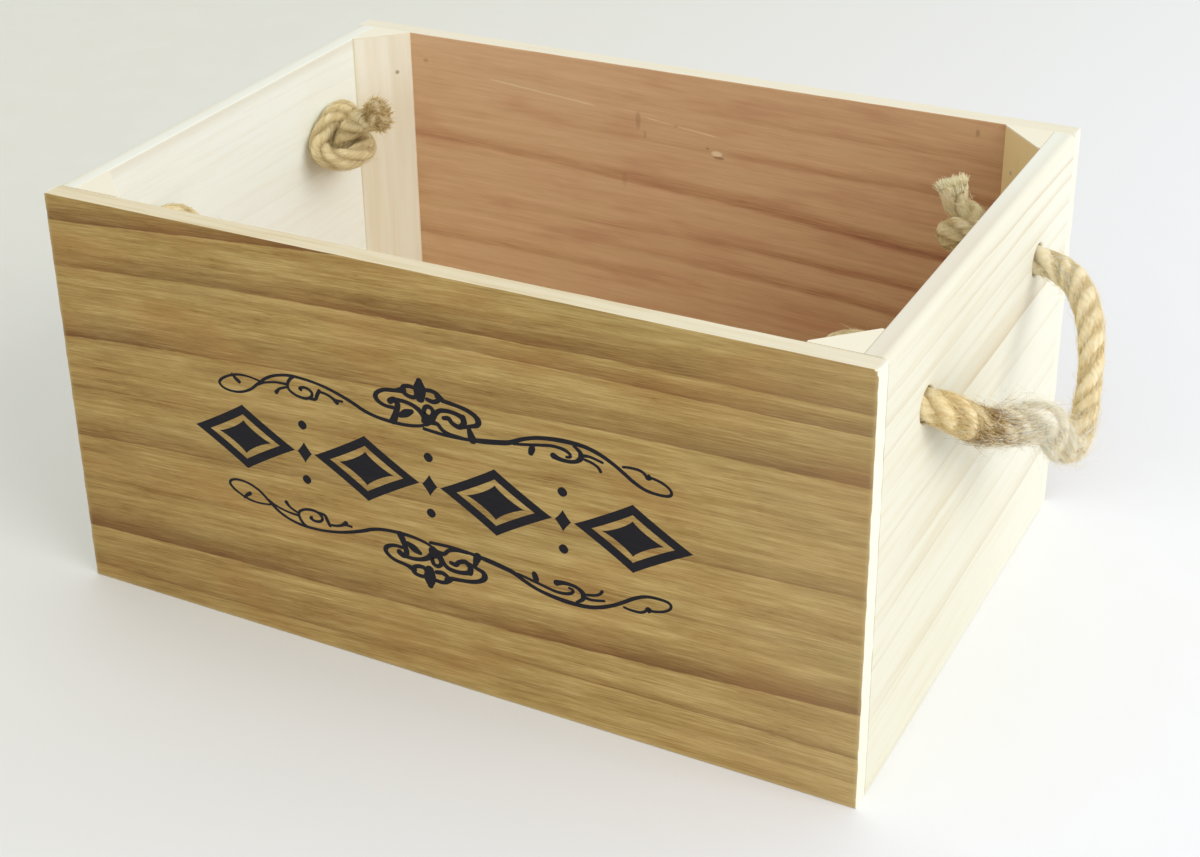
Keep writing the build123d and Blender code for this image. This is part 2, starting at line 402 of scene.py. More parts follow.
def pale_board(name, lines, strength):
    """Unstained cream wood. Its outer face has brownish growth lines, its inner face hardly any."""
    wood = Finish(name)
    x, y, z = wood.place()
    outside = x.math("ABSOLUTE").step(end_mm - 7, end_mm - 1)
    waved = z + 3.0 * (wood.noise(y / 70, 2.0, z / 30, detail=1.0) - 0.5)
    waved = waved + 0.8 * (wood.noise(y / 8, 6.0, z / 3, detail=2.0) - 0.5)
    fine = wood.noise(y / 20, 1.0, z / 0.7, detail=4.0, roughness=0.65)
    broad = wood.noise(y / 90, 7.0, waved / 4, detail=3.0, roughness=0.6)
    grown = growth_lines(wood, y / side_mm, waved, lines, crisp_fade) * (0.35 + 1.1 * fine)
    inner = wood.mix(broad.step(0.45, 0.75) * 0.35, srgb(250, 255, 247), srgb(243, 240, 222))
    outer = wood.mix(broad.step(0.42, 0.75) * 0.60, srgb(229, 226, 207), srgb(222, 211, 179))
    # Painted light: the outer face is paler towards the back, making up for the window's light falling off
    # there
    outer = wood.mix(y.step(-60.0, 130.0) * 0.6, outer, srgb(242, 241, 228))
    colour = wood.mix(outside, inner, outer)
    colour = wood.mix(grown.clamped() * (0.10 + outside * strength), colour, srgb(196, 170, 122))
    colour = wood.mix(fine.step(0.50, 0.85) * 0.22, colour, srgb(222, 206, 170))
    colour = wood.mix(z.step(rim_mm - 7, rim_mm - 1) * 0.55, colour, srgb(230, 226, 206))
    # Painted shade: a darker band on the inner half of the right end panel's rim, towards the front, where
    # the rounded rim turns from the window
    painted_rim_shade = z.step(rim_mm - 2, rim_mm - 0.4) * x.step(0.0, 100.0)
    painted_rim_shade = painted_rim_shade * x.step(end_mm - 1.4, end_mm - 3.4) * y.step(90.0, -20.0)
    colour = wood.mix(painted_rim_shade * 0.42, colour, srgb(220, 202, 174))
    normal = wood.bump(0.6 * fine + 0.5 * broad - 0.3 * grown, 0.2 * mm, 0.35)
    return wood.surface(colour, 0.64 + 0.10 * fine, normal, 0.2)


def base_wood():
    """Thin pale floor board. Its grain runs along the crate, in wandering growth lines."""
    wood = Finish("pale_base")
    x, y, z = wood.place()
    wander = wood.noise(x / 190, y / 75, 3.0, detail=1.0) + 0.12 * wood.noise(x / 14, y / 5, 6.0, detail=2.0)
    flow = (y + 62 * wander) / 9.5
    fine = wood.noise(x / 24, y / 0.8, z / 2, detail=4.0, roughness=0.65)
    broad = wood.noise(x / 120, flow * 0.8, 7.0, detail=3.0, roughness=0.55)
    ring = flow.math("FRACT").ramp([(0.0, 0.0), (0.55, 0.12), (0.88, 0.75), (0.95, 1.0), (1.0, 0.0)])
    colour = wood.mix(broad.step(0.35, 0.72), srgb(252, 251, 240), srgb(246, 240, 220))
    colour = wood.mix((ring * (0.25 + 1.1 * fine)).clamped() * 0.55, colour, srgb(214, 192, 148))
    colour = wood.mix(fine.step(0.52, 0.85) * 0.28, colour, srgb(226, 211, 174))
    normal = wood.bump(0.6 * fine + 0.4 * broad - 0.25 * ring, 0.2 * mm, 0.4)
    return wood.surface(colour, 0.64 + 0.10 * fine, normal, 0.2)


def glue_block(name, light, dark, painted_corner_shade):
    """A glue block whose grain runs up, darker lower down by the painted shade given for a deep corner. Its
    sawn top is pale.
    """
    wood = Finish(name)
    x, y, z = wood.place()
    across = x * 0.71 + y * 0.7
    fine = wood.noise(across / 0.7, x / 3, z / 26, detail=4.0, roughness=0.6)
    broad = wood.noise(across / 4.5, 4.0, z / 130, detail=2.0)
    colour = wood.mix(broad.step(0.35, 0.75) * 0.6, light, dark)
    colour = wood.mix(fine.step(0.52, 0.9) * 0.35, colour, dark)
    # Painted shade: darker lower down, deep in the corner
    colour = wood.mix(z.step(rim_mm - 12, rim_mm - 40) * painted_corner_shade, colour, srgb(222, 203, 164))
    colour = wood.mix(z.step(rim_mm - 1, rim_mm - 0.2), colour, srgb(243, 236, 212))
    normal = wood.bump(0.6 * fine + 0.4 * broad, 0.2 * mm, 0.35)
    return wood.surface(colour, 0.66, normal, 0.2)


def raw_edge():
    """Sawn, unstained edge of a board."""
    wood = Finish("raw_edge")
    x, y, z = wood.place()
    fine = wood.noise((x + y) / 14, y / 0.6, z / 0.6, detail=3.0, roughness=0.65)
    broad = wood.noise((x + y) / 50, y / 3, z / 3, detail=2.0)
    colour = wood.mix(broad.step(0.4, 0.75), srgb(229, 217, 184), srgb(216, 199, 158))
    colour = wood.mix(fine.step(0.52, 0.85) * 0.3, colour, srgb(192, 170, 128))
    pale = y.step(0.0, 100.0).math("MAXIMUM", x.step(20.0, 170.0) * 0.7)
    colour = wood.mix(pale * 0.8, colour, srgb(240, 234, 212))
    colour = wood.mix(x.math("ABSOLUTE").step(end_mm - 2, end_mm - 0.4) * 0.85, colour, srgb(241, 238, 222))
    normal = wood.bump(fine, 0.15 * mm, 0.4)
    return wood.surface(colour, 0.68, normal, 0.2)


def rope_finish(name, light, dark, bleached, painted_shade_colour):
    """Jute: fibres along each strand, painted shade in its furrows, valleys and crevices, and paler, bleached
    stretches.
    """
    jute = Finish(name)
    along, across, up = jute.parts(jute.attribute("lay", "Vector"))
    groove = jute.attribute("groove")
    bleach = jute.attribute("bleach")
    hair = jute.noise(along / 6, across / 0.25, up / 0.25, detail=4.0, roughness=0.7)
    tuft = jute.noise(along / 9, across / 1.2, up / 1.2, detail=2.0)
    tone = (hair * 0.9 + tuft * 0.6 - 0.25).clamped()
    colour = jute.mix(tone.step(0.28, 0.72), dark, light)
    colour = jute.mix(bleach * tone.step(0.15, 0.5) * 0.9, colour, bleached)
    # Painted shade: darker in the furrows, valleys and crevices of the rope and where it presses on itself
    colour = jute.mix((groove * 0.45).clamped(), colour, painted_shade_colour)
    normal = jute.bump(hair * 0.7 + tuft * 0.3, 0.6 * mm, 0.9)
    return jute.surface(colour, 0.88, normal, 0.12)


def fibre_finish(name, light, dark, bleached):
    """Loose fibres, each of its own tone."""
    jute = Finish(name)
    tone = jute.attribute("tone")
    x, y, z = jute.place()
    grain = jute.noise(x / 0.9, y / 0.9, z / 0.9, detail=1.0)
    colour = jute.mix((tone * 0.8 + grain * 0.3).clamped(), dark, light)
    colour = jute.mix(tone.step(0.60, 0.95), colour, bleached)
    # Tones below 0 turn the fibres dark brown; the painted shade of the rope's stretches pushes them there
    colour = jute.mix(tone.step(0.0, -0.8) * 0.9, colour, srgb(150, 116, 68))
    normal = jute.bump(grain, 0.05 * mm, 0.3)
    return jute.surface(colour, 0.8, normal, 0.2)


def print_ink():
    """Near-black print, thin where it is worn and over the pores of the wood."""
    ink = Finish("print_ink")
    x, y, z = ink.place()
    worn = ink.noise(x / 1.1, 2.0, z / 0.7, detail=3.0, roughness=0.7).step(0.72, 0.8)
    streak = ink.noise(x / 18, 6.0, z / 0.8, detail=2.0)
    colour = ink.mix(streak.step(0.35, 0.8) * 0.6, srgb(24, 24, 30), srgb(40, 34, 36))
    colour = ink.mix(worn * 0.4, colour, srgb(120, 94, 60))
    normal = ink.bump(streak, 0.1 * mm, 0.35)
    return ink.surface(colour, 0.60 + 0.2 * streak, normal, 0.2)


def brad_steel():
    """Dull steel, browned in spots."""
    steel = Finish("brad_steel")
    x, y, z = steel.place()
    dull = steel.noise(x / 0.5, y / 0.5, z / 0.5, detail=3.0)
    colour = steel.mix(dull, srgb(212, 196, 172), srgb(176, 158, 134))
    normal = steel.bump(dull, 0.05 * mm, 0.3)
    return steel.surface(colour, 0.4 + 0.3 * dull, normal, 0.5, metallic=0.45)


# Boards

# Rounding of a board's edges: crisp at the joints, soft where hands reach it
crisp_easing = 0.15 * mm
soft_easing = 0.6 * mm
# Places along a board's edges: close ones up to a reach and wide ones between them, for its length,
# thickness and height
near_step = 0.6 * mm
near_reaches = (9 * mm, 2.4 * mm, 9 * mm)
far_steps = (2.2 * mm, 1.4 * mm, 3.6 * mm)
# Sawn ends and rims: how far the unevenness reaches inwards and how rough it is, the lengths across and
# up, strength and seed of each wave of the ends, and the lengths and seed of the rim's wave
edge_reach = 2 * mm
end_roughness = 0.30 * mm
rim_roughness = 0.12 * mm
end_waves = [(8 * mm, 7 * mm, 1.0, 4.0), (3 * mm, 2.4 * mm, 0.5, 9.0)]
rim_wave = (14 * mm, 4 * mm, 2.0)
# The chip at the corner of the front board, how ragged it is, and how far bare wood shows round it
chip_size = (1.9 * mm, 1.8 * mm, 3.0 * mm)
chip_grain = 1.1 * mm
chip_raggedness = 0.25
chip_border = 0.12
# How far the raw wood of a corner joint reaches past the end panel's inner face
joint_margin = 2 * mm


def ticks(low, high, near_reach, far_step):
    """Places along one edge of a board: close at both ends, wide in the middle."""
    loops = [share * soft_easing for share in (0.0, 0.35, 0.7, 1.0)]
    reach = soft_easing + near_step
    while reach < near_reach - near_step / 2:
        loops.append(reach)
        reach += near_step
    middle = np.linspace(near_reach, high - low - near_reach, 2 + int((high - low) / far_step))
    ends = [high - low - loop for loop in reversed(loops)]
    return [low + place for place in [*loops, *middle, *ends]]


def board_mesh(name, low, high, grids, easings, roughen):
    """A board whose edges are rounded by their own easing and whose surface roughen() moves."""
    index, points, faces, kinds = {}, [], [], []

    def vertex(key):
        if key not in index:
            index[key] = len(points)
            points.append(Vector(grids[axis][key[axis]] for axis in range(3)))
        return index[key]

    last = [len(grid) - 1 for grid in grids]
    for axis in range(3):
        first, second = [other for other in range(3) if other != axis]
        for end in (0, last[axis]):
            for i in range(last[first]):
                for j in range(last[second]):
                    corners = []
                    for a, b in ((i, j), (i + 1, j), (i + 1, j + 1), (i, j + 1)):
                        key = [0, 0, 0]
                        key[axis], key[first], key[second] = end, a, b
                        corners.append(vertex(tuple(key)))
                    outward = (end == 0) == (axis == 1)
                    faces.append(corners if outward else corners[::-1])
                    kinds.append((axis, -1 if end == 0 else 1))
    points = [roughen(eased(point, low, high, easings), low, high) for point in points]
    mesh = bpy.data.meshes.new(name)
    mesh.from_pydata(points, [], faces)
    mesh.validate()
    mesh.shade_smooth()
    return mesh, kinds


def eased(point, low, high, easings):
    """The point moved onto the rounding of the edge that it is nearest to."""
    gaps = []
    for axis in range(3):
        side = -1 if point[axis] - low[axis] < high[axis] - point[axis] else 1
        gap = min(point[axis] - low[axis], high[axis] - point[axis])
        gaps.append((gap, axis, side))
    gaps.sort()
    edge = frozenset((axis, side) for gap, axis, side in gaps[:2])
    radius = easings.get(edge, easings["rest"])
    core = Vector(min(max(point[a], low[a] + radius), high[a] - radius) for a in range(3))
    away = point - core
    return core + away.normalized() * radius if away.length > 0 else point


def sawn(point, low, high):
    """The point moved by the small unevenness of sawn edges; the broad faces stay flat."""
    end_gap = min(point.x - low.x, high.x - point.x)
    rim_gap = min(point.z - low.z, high.z - point.z)
    moved = point.copy()
    if end_gap < edge_reach:
        wave = sum(
            strength * noise.noise(Vector((point.y / across, seed, point.z / up)))
            for across, up, strength, seed in end_waves
        )
        inward = -1 if point.x > 0 else 1
        moved.x += inward * end_roughness * (0.5 + wave) * (1 - end_gap / edge_reach)
    if rim_gap < edge_reach and point.z > high.z / 2:
        along, across, seed = rim_wave
        wave = noise.noise(Vector((point.x / along, point.y / across, seed)))
        moved.z -= rim_roughness * (0.5 + wave) * (1 - rim_gap / edge_reach)
    return moved


def chip_depth(point):
    """How far inside the broken corner of the front board a point lies, above 0 where it is gone."""
    shares = [
        (front_high.x - point.x) / chip_size[0],
        (point.y - front_low.y) / chip_size[1],
        (front_high.z - point.z) / chip_size[2],
    ]
    return 1 - sum(shares) + chip_raggedness * noise.noise(point / chip_grain)


def chipped(point, low, high):
    """A sawn board with one corner of its printed face broken off."""
    moved = sawn(point, low, high)
    depth = chip_depth(moved)
    if depth > 0:
        moved += depth * Vector((-chip_size[0], chip_size[1], -chip_size[2])) / 3
    return moved


def long_board(name, node, face, finish_out, finish_in, roughen):
    """Front or back board: stained outside and inside, raw where it is sawn."""
    low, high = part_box(node)
    grids = [ticks(*ends) for ends in zip(low, high, near_reaches, far_steps)]
    easings = {"rest": crisp_easing}
    for other in ((0, -1), (0, 1), (2, -1), (2, 1)):
        easings[frozenset(((1, face), other))] = soft_easing
    easings[frozenset(((1, -face), (2, 1)))] = soft_easing
    mesh, kinds = board_mesh(name, low, high, grids, easings, roughen)
    board = linked(name, mesh)
    paint(board, finishes["edge"], finish_out, finish_in)
    for polygon, (axis, side) in zip(mesh.polygons, kinds):
        broken = roughen is chipped and chip_depth(polygon.center) > -chip_border
        jointed = side != face and abs(polygon.center.x) > inner_half_length + joint_margin
        if axis == 1 and not broken and not jointed:
            polygon.material_index = 1 if side == face else 2
    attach(board, "crate")
    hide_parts(node)


# Rope

# Route of one handle as it hangs: distance out from the panel, distance from its middle, height
# over the holes. The first and last points lie in the holes.
handle_route = [
    (-5.0, 67.5, 0.0),
    (6.3, 67.5, 0.0),
    (18.5, 58.0, -1.5),
    (29.0, 43.0, -8.0),
    (35.5, 24.5, -19.5),
    (38.2, 8.5, -39.5),
    (36.0, -8.0, -42.5),
    (30.0, -15.5, -23.0),
    (21.5, -33.5, -21.2),
    (14.6, -51.5, -13.5),
    (6.3, -67.5, 0.0),
    (-5.0, -67.5, 0.0),
]

# Overhand knots: shares of the squeezed rope's diameter, and how each knot is turned and tied
knot_wrap_step = 72.0
knot_wrap_start = -54.0
knot_stand_share = 2.55
knot_return_share = 2.16
knot_wrap_radius_share = 1.05
knot_rise_shares = [0.0, 0.04, 0.20, 0.48, 0.82, 1.16]
knot_shank_share = 0.5
knot_turns = {
    ("left", "front"): 350.0,
    ("left", "rear"): 190.0,
    ("right", "front"): 75.0,
    ("right", "rear"): 42.0,
}
knot_hands = {
    ("left", "front"): 1,
    ("left", "rear"): 1,
    ("right", "front"): 1,
    ("right", "rear"): -1,
}
knot_tail_shares = {
    ("left", "front"): [(1.10, 0.15, -0.95)],
    ("left", "rear"): [(1.95, 0.25, -1.00)],
    ("right", "front"): [(1.05, -0.90, -0.25)],
    ("right", "rear"): [(1.00, 0.20, -0.29), (0.25, 0.50, -0.71)],
}
spline_resolution = 24
line_step = 0.6 * mm
# A direction that no rope or fibre runs along, from which the directions across them start
slant = (0.31, 0.42, 0.85)


def handle_points(side):
    face = side * half_length
    return [
        Vector((face + side * out * mm, across * mm, rope_height + up * mm))
        for out, across, up in handle_route
    ]


def knot_points(knot_place):
    """Corner points of one knot, from inside its hole to its cut end, in the crate's frame."""
    side_name, end_name = knot_place
    size = knot_rope_diameter
    seat = size / 2 + rope_clearance
    wrap_radius = knot_wrap_radius_share * size / math.cos(math.radians(knot_wrap_step / 2))
    top, out = knot_stand_share * size, knot_return_share * size
    points = [(-knot_shank_share * size, 0, 0), (top, 0, 0), (top, out, 0), (seat, out, 0)]
    for corner, rise in enumerate(knot_rise_shares):
        angle = math.radians(knot_wrap_start - corner * knot_wrap_step)
        points.append((seat + rise * size, wrap_radius * math.cos(angle), wrap_radius * math.sin(angle)))
    for shares in knot_tail_shares[knot_place]:
        last = points[-1]
        points.append(tuple(a + share * size for a, share in zip(last, shares)))
    side = sides[side_name]
    hole = Vector((side * inner_half_length, hole_places[end_name] * rope_hole_reach, rope_height))
    turn = Matrix.Rotation(math.radians(knot_turns[knot_place]), 3, "X")
    half_turn = Matrix.Identity(3) if side < 0 else Matrix.Rotation(math.pi, 3, "Z")
    hand = knot_hands[knot_place]
    return [hole + half_turn @ turn @ Vector((a, b, hand * c)) for a, b, c in points]


def spline_line(name, route):
    """Evenly spaced points on the smooth curve whose control points are the route."""
    curve = bpy.data.curves.new(name, "CURVE")
    curve.dimensions = "3D"
    curve.resolution_u = spline_resolution
    spline = curve.splines.new("NURBS")
    spline.points.add(len(route) - 1)
    for point, place in zip(spline.points, route):
        point.co = (*place, 1.0)
    spline.order_u = 3
    spline.use_endpoint_u = True
    holder = bpy.data.objects.new(name, curve)
    mesh = bpy.data.meshes.new_from_object(holder)
    dense = np.array([vertex.co[:] for vertex in mesh.vertices])
    bpy.data.objects.remove(holder)
    bpy.data.meshes.remove(mesh)
    along = np.concatenate([[0], np.cumsum(np.linalg.norm(np.diff(dense, axis=0), axis=1))])
    at = np.linspace(0, along[-1], int(along[-1] / line_step) + 1)
    return np.stack([np.interp(at, along, dense[:, axis]) for axis in range(3)], axis=1)


def unit(vectors):
    return vectors / np.linalg.norm(vectors, axis=-1, keepdims=True)


def carried_axes(line):
    """Tangents, and two directions across the line that are carried along it without twist."""
    tangents = unit(np.gradient(line, axis=0))
    start = np.cross(tangents[0], slant)
    firsts = [start / np.linalg.norm(start)]
    for tangent in tangents[1:]:
        first = firsts[-1] - tangent * (firsts[-1] @ tangent)
        firsts.append(first / np.linalg.norm(first))
    firsts = np.array(firsts)
    return tangents, firsts, np.cross(tangents, firsts)


# Strands: shares of the rope's diameter for their middles' offset, their radius and their wander, and how
# uneven their twist is
handle_lay = 33 * mm
knot_lay = 30 * mm
strand_count = 3
strand_offset_share = 0.243
strand_radius_share = 0.270
strand_sides = 24
strand_wander_share = 0.04
wanders_in_metre = 90
twist_wobble = 1.1
wobble_length = 24 * mm
# Yarns show as ridges on a strand. The strand swells and is lumpy, more so where it is worn
yarns_in_strand = 5
yarn_lay = 15 * mm
ridge_share = 0.075
swell_share = 0.10
swell_length = 8 * mm
lump_share = 0.10
worn_lump_share = 0.06
lump_length = 3.2 * mm
strand_end_rise = 0.3 * mm
# How deep a strand's surface lies in the rope where its painted shade is darkest, how dark the painted shade
# of its valleys is, how dark its ends are, and how strong the painted shade of its shaded stretches is
groove_depth_share = 0.17
valley_darkness = 0.35
end_darkness = 0.55
painted_shade_strength = 1.5
# Shares of the rope's diameter: how far along its line another stretch begins, and how near such a
# stretch is where the painted shade it gives starts and how much nearer where it is full
crowd_skip_share = 1.6
crowd_start_share = 0.88
crowd_range_share = 0.36


class Rope:
    """A line with the twist, thickness, wear and painted light and shade of the rope that lies along it.

    Wear, spread and shade are functions of the share of the rope's length: how bleached and loose it is,
    how far it is opened, and how dark its painted shade makes it, under 0 where painted light makes it paler
    than the rest."""

    def __init__(self, name, route, diameter, lay, wear, spread, shade):
        self.name = name
        self.diameter = diameter
        self.line = spline_line(name, route)
        self.length = line_step * (len(self.line) - 1)
        self.lay = lay
        self.wear = wear
        self.spread = spread
        self.shade = shade
        self.tangents, self.firsts, self.seconds = carried_axes(self.line)

    def strand_line(self, number):
        """Middle of one of the three strands, and how far the rope is opened at each point."""
        count = len(self.line)
        along = np.arange(count) * line_step
        share = along / self.length
        opened = np.array([self.spread(s) for s in share])
        loosened = [
            twist_wobble * noise.noise(Vector((a / wobble_length, 31.0, 0.5)))
            + 0.25 * twist_wobble * noise.noise(Vector((a / wobble_length * 2, 3.0 * number, 8.5)))
            for a in along
        ]
        angle = 2 * math.pi * (along / self.lay + number / strand_count) + np.array(loosened)
        offset = strand_offset_share * self.diameter * opened
        across = np.cos(angle)[:, None] * self.firsts + np.sin(angle)[:, None] * self.seconds
        wander = strand_wander_share * self.diameter * np.array([
            noise.noise(Vector((a * wanders_in_metre, number * 7.0, 0.5))) for a in along
        ])
        return self.line + (offset + wander)[:, None] * across, opened

    def crowding(self, points, rings):
        """How closely another stretch of the same rope lies against each point, from 0 to 1."""
        away = np.linalg.norm(np.array(points)[:, None] - self.line[None], axis=2)
        apart = np.abs(np.array(rings)[:, None] - np.arange(len(self.line))) * line_step
        nearest = np.where(apart > crowd_skip_share * self.diameter, away, np.inf).min(axis=1)
        return np.clip((crowd_start_share - nearest / self.diameter) / crowd_range_share, 0.0, 1.0)


def strand_rings(rope, number, first_point):
    """Rings of one strand with the attributes of its fibres."""
    line, opened = rope.strand_line(number)
    tangents, firsts, seconds = carried_axes(line)
    points, lay, painted_groove_shades, bleaches, faces = [], [], [], [], []
    count = len(line)
    for i in range(count):
        along = i * line_step
        share = along / rope.length
        worn = rope.wear(share)
        swell = 1 + swell_share * noise.noise(Vector((along / swell_length, 11.0 * number, 2.5)))
        radius = strand_radius_share * rope.diameter * (0.5 + 0.5 * opened[i]) * swell
        for k in range(strand_sides):
            angle = 2 * math.pi * k / strand_sides
            turned = angle + 2 * math.pi * along / yarn_lay
            ridge = abs(math.sin(turned * yarns_in_strand / 2)) - 0.6
            cosine, sine = math.cos(turned), math.sin(turned)
            probe = Vector((along / lump_length, 1.3 * cosine, 1.3 * sine + 5 * number))
            lump = noise.noise(probe) + 0.5 * noise.noise(3.1 * probe)
            reach = radius * (1 + ridge_share * ridge + (lump_share + worn_lump_share * worn) * lump)
            out = math.cos(angle) * firsts[i] + math.sin(angle) * seconds[i]
            point = line[i] + reach * out
            depth = rope.diameter / 2 * opened[i] - np.linalg.norm(point - rope.line[i])
            points.append(point)
            lay.append((along / mm, reach / mm * cosine, reach / mm * sine + 20 * number))
            # Painted shade in the strand's furrows and valleys, with the painted light and shade of its
            # stretches
            sunk = max(0.0, depth / (groove_depth_share * rope.diameter))
            valley = max(0.0, -lump) + max(0.0, -ridge)
            groove = min(1.0, sunk + valley_darkness * valley)
            painted_groove_shades.append(groove + painted_shade_strength * rope.shade(share) * (1.0 + lump))
            bleaches.append(worn)
    # Painted shade where another stretch of the same rope lies close
    crowd_shade = rope.crowding(points, np.repeat(np.arange(count), strand_sides))
    painted_groove_shades = (np.array(painted_groove_shades) + painted_shade_strength * crowd_shade).tolist()
    for i in range(count - 1):
        for k in range(strand_sides):
            a = first_point + i * strand_sides + k
            b = first_point + i * strand_sides + (k + 1) % strand_sides
            faces.append((a, b, b + strand_sides, a + strand_sides))
    for ring, inward in ((0, 1), (count - 1, -1)):
        start = first_point + ring * strand_sides
        loop = list(range(start, start + strand_sides))
        centre = first_point + len(points)
        worn = rope.wear(ring / (count - 1))
        points.append(line[ring] + inward * strand_end_rise * tangents[ring])
        lay.append((ring * line_step / mm, 0.0, 20.0 * number))
        painted_groove_shades.append(end_darkness)
        bleaches.append(worn)
        for a, b in zip(loop, loop[1:] + loop[:1]):
            faces.append((b, a, centre) if inward > 0 else (a, b, centre))
    return points, faces, lay, painted_groove_shades, bleaches


def rope_object(rope, material):
    """Three twisted strands as one mesh."""
    points, faces, lay, painted_groove_shades, bleaches = [], [], [], [], []
    for number in range(strand_count):
        made = strand_rings(rope, number, len(points))
        for whole, part in zip((points, faces, lay, painted_groove_shades, bleaches), made):
            whole.extend(part)
    mesh = bpy.data.meshes.new(rope.name)
    mesh.from_pydata([tuple(point) for point in points], [], faces)
    mesh.shade_smooth()
    layer = mesh.attributes.new("lay", "FLOAT_VECTOR", "POINT")
    layer.data.foreach_set("vector", np.array(lay, np.float32).ravel())
    for name, numbers in (("groove", painted_groove_shades), ("bleach", bleaches)):
        layer = mesh.attributes.new(name, "FLOAT", "POINT")
        layer.data.foreach_set("value", np.array(numbers, np.float32))
    obj = linked(rope.name, mesh)
    paint(obj, material)
    return obj


# Fibres: how much thinner they end, their points, and in millimetres their radii as loose fuzz, and how
# deep the brush of a cut end starts, how far it stands out and its radii
fibre_taper = 0.65
fibre_points = 6
fuzz_radii_mm = (0.04, 0.10)
brush_depths_mm = (2.0, 4.5)
brush_heights_mm = (0.5, 1.9)
brush_radii_mm = (0.12, 0.26)
# Coarse fibres are thicker and paler by these factors
coarse_thickness = 1.7
coarse_paleness = 1.3
# Layers of fuzz: fibres, longest, lift off the rope, the stretch of the rope that they lie on as shares of
# its length, and coarse or fine
handle_fuzz = [
    (1650, 22 * mm, 0.45 * mm, (0.03, 0.97), False),
    (1300, 11 * mm, 1.5 * mm, (0.03, 0.97), False),
    (700, 24 * mm, 2.6 * mm, (0.46, 0.86), False),
    (800, 9 * mm, 1.0 * mm, (0.80, 0.97), False),
    (600, 15 * mm, 0.30 * mm, (0.03, 0.97), True),
    (350, 10 * mm, 0.55 * mm, (0.80, 0.97), True),
    (800, 9 * mm, 0.25 * mm, (0.04, 0.48), True),
]
knot_fuzz = [
    (850, 14 * mm, 0.35 * mm, (0.12, 0.97), False),
    (420, 7 * mm, 1.4 * mm, (0.12, 0.97), False),
    (400, 8 * mm, 0.35 * mm, (0.12, 0.97), True),
]
brush_fibres = 1700


class FibreMesh:
    """Many fine, tapering, three-sided fibres gathered into one mesh."""

    def __init__(self):
        self.points, self.tones, self.faces = [], [], []
        self.count = 0

    def add(self, paths, radii, tones):
        """Fibres of equally many points. The arrays hold one row for each fibre."""
        number, steps = paths.shape[:2]
        tangents = unit(np.gradient(paths, axis=1))
        firsts = unit(np.cross(tangents, slant))
        seconds = np.cross(tangents, firsts)
        thin = (radii[:, None] * (1 - fibre_taper * np.linspace(0, 1, steps)))[..., None]
        corners = []
        for corner in range(3):
            angle = 2 * math.pi * corner / 3
            corners.append(paths + thin * (math.cos(angle) * firsts + math.sin(angle) * seconds))
        index = self.count + np.arange(number * steps * 3).reshape(number, steps, 3)
        turned = np.roll(index, -1, axis=2)
        walls = np.stack([index[:, :-1], turned[:, :-1], turned[:, 1:], index[:, 1:]], axis=-1)
        self.points.extend(np.stack(corners, axis=2).reshape(-1, 3).tolist())
        self.tones.append(np.repeat(tones, steps * 3))
        self.faces.extend(walls.reshape(-1, 4).tolist())
        self.faces.extend(index[:, 0, ::-1].tolist())
        self.faces.extend(index[:, -1].tolist())
        self.count += index.size

    def made(self, name, material):
        mesh = bpy.data.meshes.new(name)
        mesh.from_pydata(self.points, [], self.faces)
        mesh.shade_smooth()
        layer = mesh.attributes.new("tone", "FLOAT", "POINT")
        layer.data.foreach_set("value", np.concatenate(self.tones).astype(np.float32))
        obj = linked(name, mesh)
        paint(obj, material)
        return obj


def beside(rope, along, angle, reach):
    """Places beside the rope: how far along it, at what angle about it and how far from its middle."""
    grid = np.arange(len(rope.line)) * line_step

    def at(rows):
        return np.stack([np.interp(along, grid, rows[:, axis]) for axis in range(3)], axis=-1)

    out = np.cos(angle)[..., None] * at(rope.firsts) + np.sin(angle)[..., None] * at(rope.seconds)
    return at(rope.line) + reach[..., None] * out


def add_fuzz(fibres, rope, draw, count, longest, lift, stretch, coarse):
    """Loose fibres that follow the rope and lift off it, more of them where it is worn."""
    first_share, last_share = stretch
    tries = 4 * count
    share = draw.uniform(first_share, last_share, tries)
    worn = np.array([rope.wear(place) for place in share])
    kept = np.flatnonzero(draw.random(tries) < 0.40 + 0.60 * worn)[:count]
    share, worn = share[kept], worn[kept]
    number = len(kept)
    opened = np.array([rope.spread(place) for place in share])
    long = longest * draw.uniform(0.3, 1.0, number) * (1 + 0.7 * worn)
    way = draw.choice((-1, 1), number)
    ends = share * rope.length + way * long
    outside = (ends < first_share * rope.length) | (ends > last_share * rope.length)
    way = np.where(outside, -way, way)
    steps = np.linspace(0, 1, fibre_points)
    along = (share * rope.length)[:, None] + (way * long)[:, None] * steps
    turn = draw.uniform(0, 2 * math.pi, number)[:, None] + draw.normal(0, 0.55, number)[:, None] * steps
    turn = turn + draw.normal(0, 0.22, number)[:, None] * np.sin(math.pi * steps)
    rise = lift * np.abs(draw.normal(0, 1, number)) * (1 + 0.8 * worn)
    start = rope.diameter * draw.uniform(0.43, 0.52, number) * opened
    reach = start[:, None] + rise[:, None] * steps**1.5
    shade = np.array([rope.shade(place) for place in share])
    tones = np.minimum(1.0, 0.6 * draw.random(number) + 0.6 * worn)
    # Painted shade darkens the fibres where the rope lies in painted shade, and painted light pales them
    # where it lies paler
    tones = tones - np.where(shade > 0, 1.8, 0.5) * shade
    thick = draw.uniform(*fuzz_radii_mm, number) * mm
    if coarse:
        thick, tones = coarse_thickness * thick, coarse_paleness * tones
    fibres.add(beside(rope, along, turn, reach), thick, tones)


